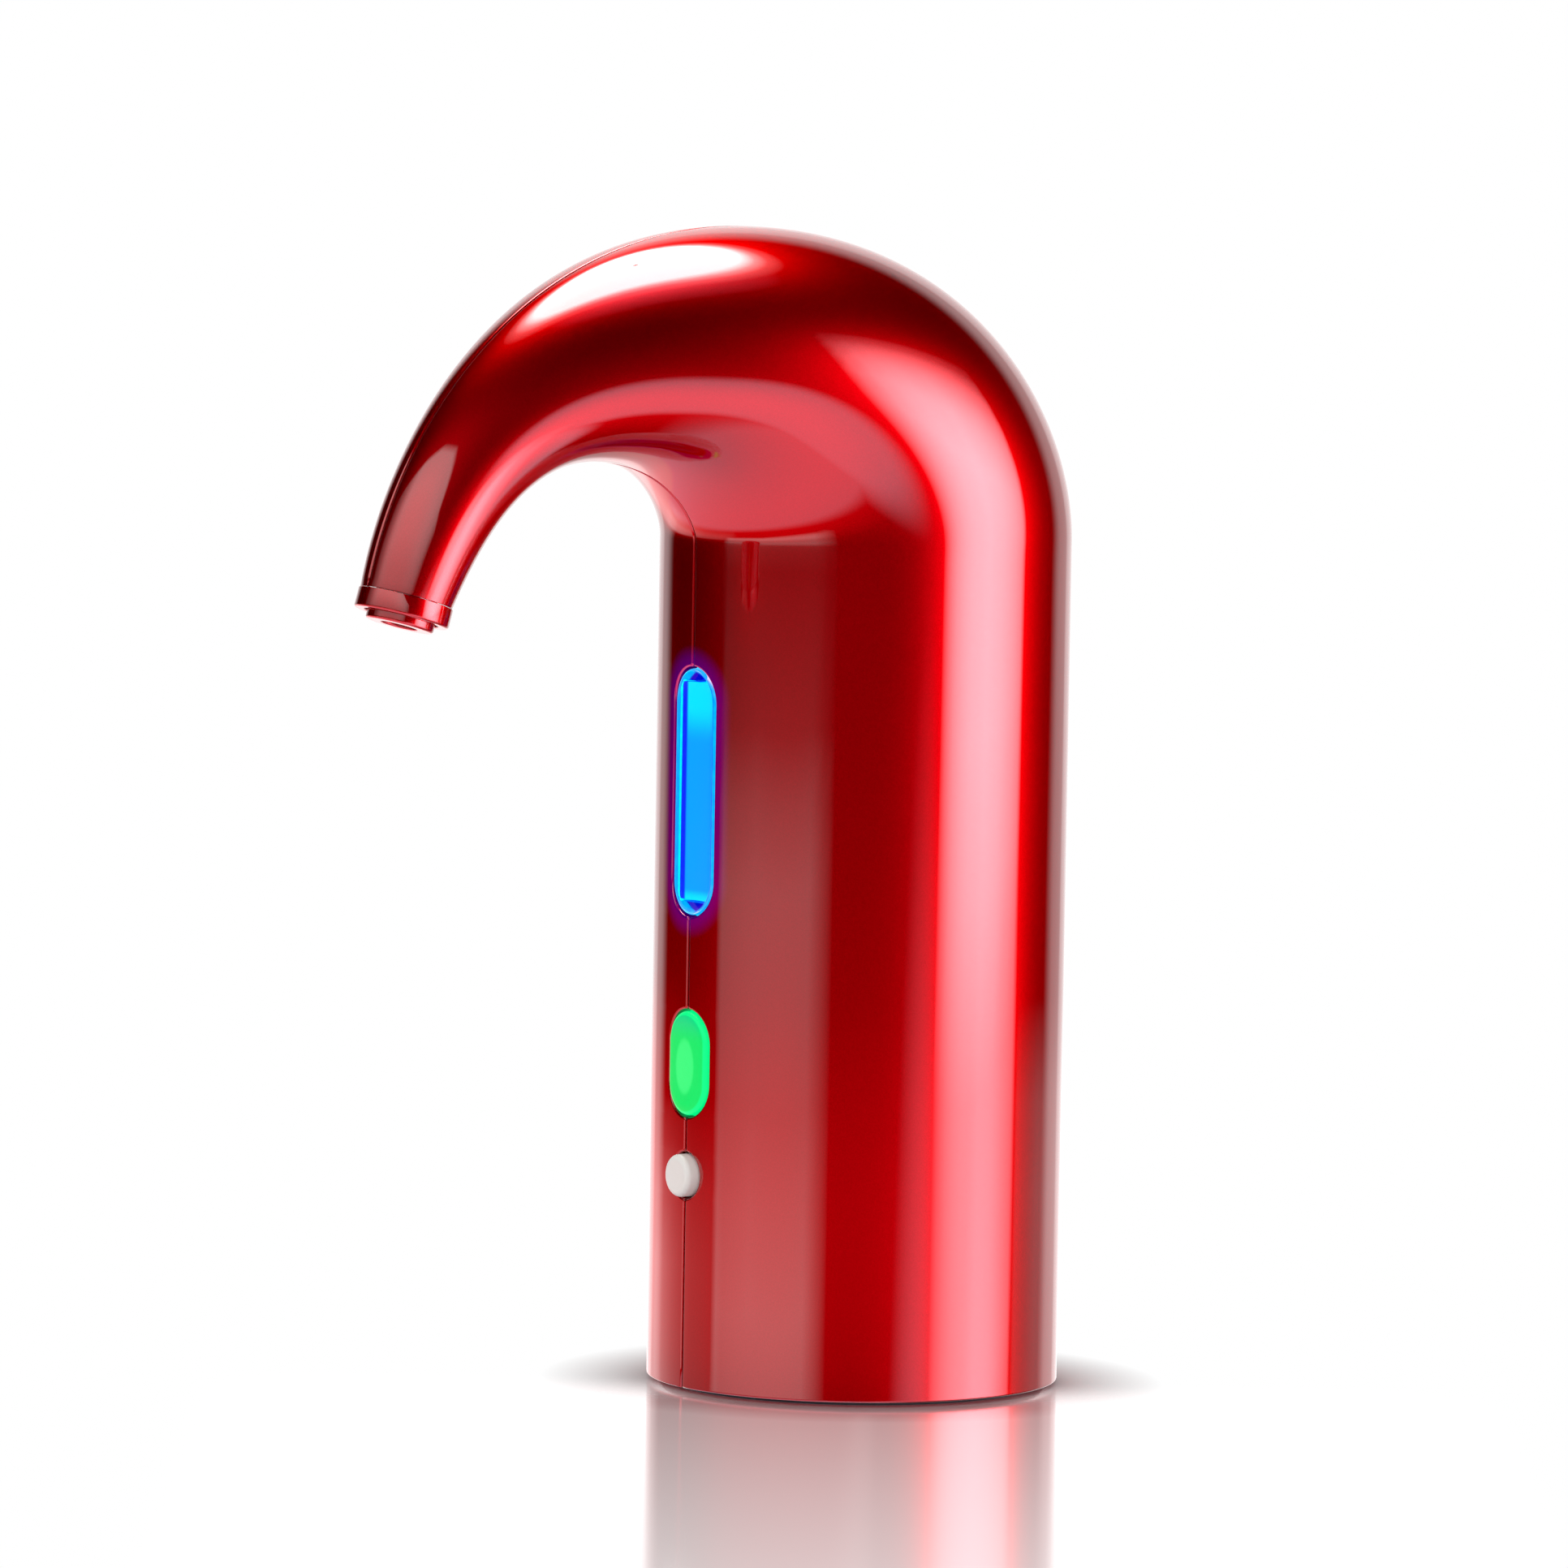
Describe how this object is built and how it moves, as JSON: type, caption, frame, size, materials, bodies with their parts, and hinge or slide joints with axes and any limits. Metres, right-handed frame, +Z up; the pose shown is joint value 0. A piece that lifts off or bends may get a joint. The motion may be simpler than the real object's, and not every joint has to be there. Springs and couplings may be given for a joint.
{
  "type": "electric wine decanter",
  "caption": "Battery wine dispenser that stands on a bottle's mouth: round body with a curved spout, a lit window, two front buttons and an air pump inside.",
  "frame": {"origin": "on the bottle's axis, at the plane that the foot ring stands on", "axes": "+Z up along the bottle's axis, -Y towards the spout and the buttons, X across, so the mirror plane is X = 0"},
  "size_m": [0.062, 0.1202, 0.1743],
  "materials": {
    "shell_paint": "candy red metallic lacquer under a clear coat, high gloss",
    "clear_cover": "clear moulded plastic",
    "light_guide": "blue lit light guide",
    "circuit_board": "green solder mask",
    "black_plastic": "satin moulded",
    "grey_plastic": "satin moulded",
    "button_green": "lit translucent green",
    "button_white": "satin off-white",
    "screw_steel": "zinc plated",
    "motor_steel": "nickel plated",
    "battery_wrap": "shrink wrap",
    "silicone": "translucent silicone",
    "foot_rubber": "matt black",
    "lead_cover": "smooth wire cover"
  },
  "bodies": {
    "housing": {"right_shell": "shell_paint", "left_shell": "shell_paint", "spout_ring": "shell_paint", "spout_nozzle": "shell_paint", "window_lens": "clear_cover", "light_guide": "light_guide", "led_board": "circuit_board", "window_bracket": "black_plastic", "main_switch": "black_plastic", "power_switch": "black_plastic", "control_board": "circuit_board", "board_screw_1": "screw_steel", "board_screw_2": "screw_steel", "chassis": "black_plastic", "top_bridge": "black_plastic", "battery_cell": "battery_wrap", "pump_motor": "motor_steel", "pump_housing": "grey_plastic", "pump_diaphragm": "silicone", "pump_cap": "grey_plastic", "check_valve": "button_white", "vent_valve": "grey_plastic", "vent_cap": "motor_steel", "inlet_fitting": "button_white", "air_fitting": "button_white", "bottle_socket": "black_plastic", "socket_sleeve": "silicone", "base_plate": "black_plastic", "base_screw_1": "screw_steel", "base_screw_2": "screw_steel", "base_screw_3": "screw_steel", "base_screw_4": "screw_steel", "foot_ring": "foot_rubber", "wine_tube_lower": "silicone", "aerator": "clear_cover", "wine_tube_upper": "silicone", "air_hose_upper": "silicone", "air_hose_lower": "silicone", "charge_port": "motor_steel", "charge_board": "circuit_board", "battery_lead": "lead_cover", "motor_lead": "lead_cover", "charge_lead": "lead_cover"},
    "main_button": {"main_button": "button_green", "main_switch_plunger": "grey_plastic"},
    "power_button": {"power_button": "button_white", "power_switch_plunger": "grey_plastic"},
    "pump_rotor": {"pump_rotor": "motor_steel"},
    "vent_plunger": {"vent_plunger": "motor_steel"},
    "check_ball": {"check_valve_ball": "motor_steel"}
  },
  "joints": [
    {"name": "main_button_press", "type": "slide", "parent": "housing", "child": "main_button", "axis": [0, 1, 0], "range_m": [0, 0.0008], "stiffness_N_per_m": 2500},
    {"name": "power_button_press", "type": "slide", "parent": "housing", "child": "power_button", "axis": [0, 1, 0], "range_m": [0, 0.0008], "stiffness_N_per_m": 2500},
    {"name": "pump_spin", "type": "hinge", "parent": "housing", "child": "pump_rotor", "pos_m": [0.0155, 0.006, 0.06], "axis": [0, 0, 1], "continuous": true},
    {"name": "vent_plunger_slide", "type": "slide", "parent": "housing", "child": "vent_plunger", "axis": [-1, 0, 0], "range_m": [0, 0.0012], "stiffness_N_per_m": 400},
    {"name": "check_ball_lift", "type": "slide", "parent": "housing", "child": "check_ball", "axis": [0, 0, 1], "range_m": [0, 0.0014], "stiffness_N_per_m": 60}
  ]
}
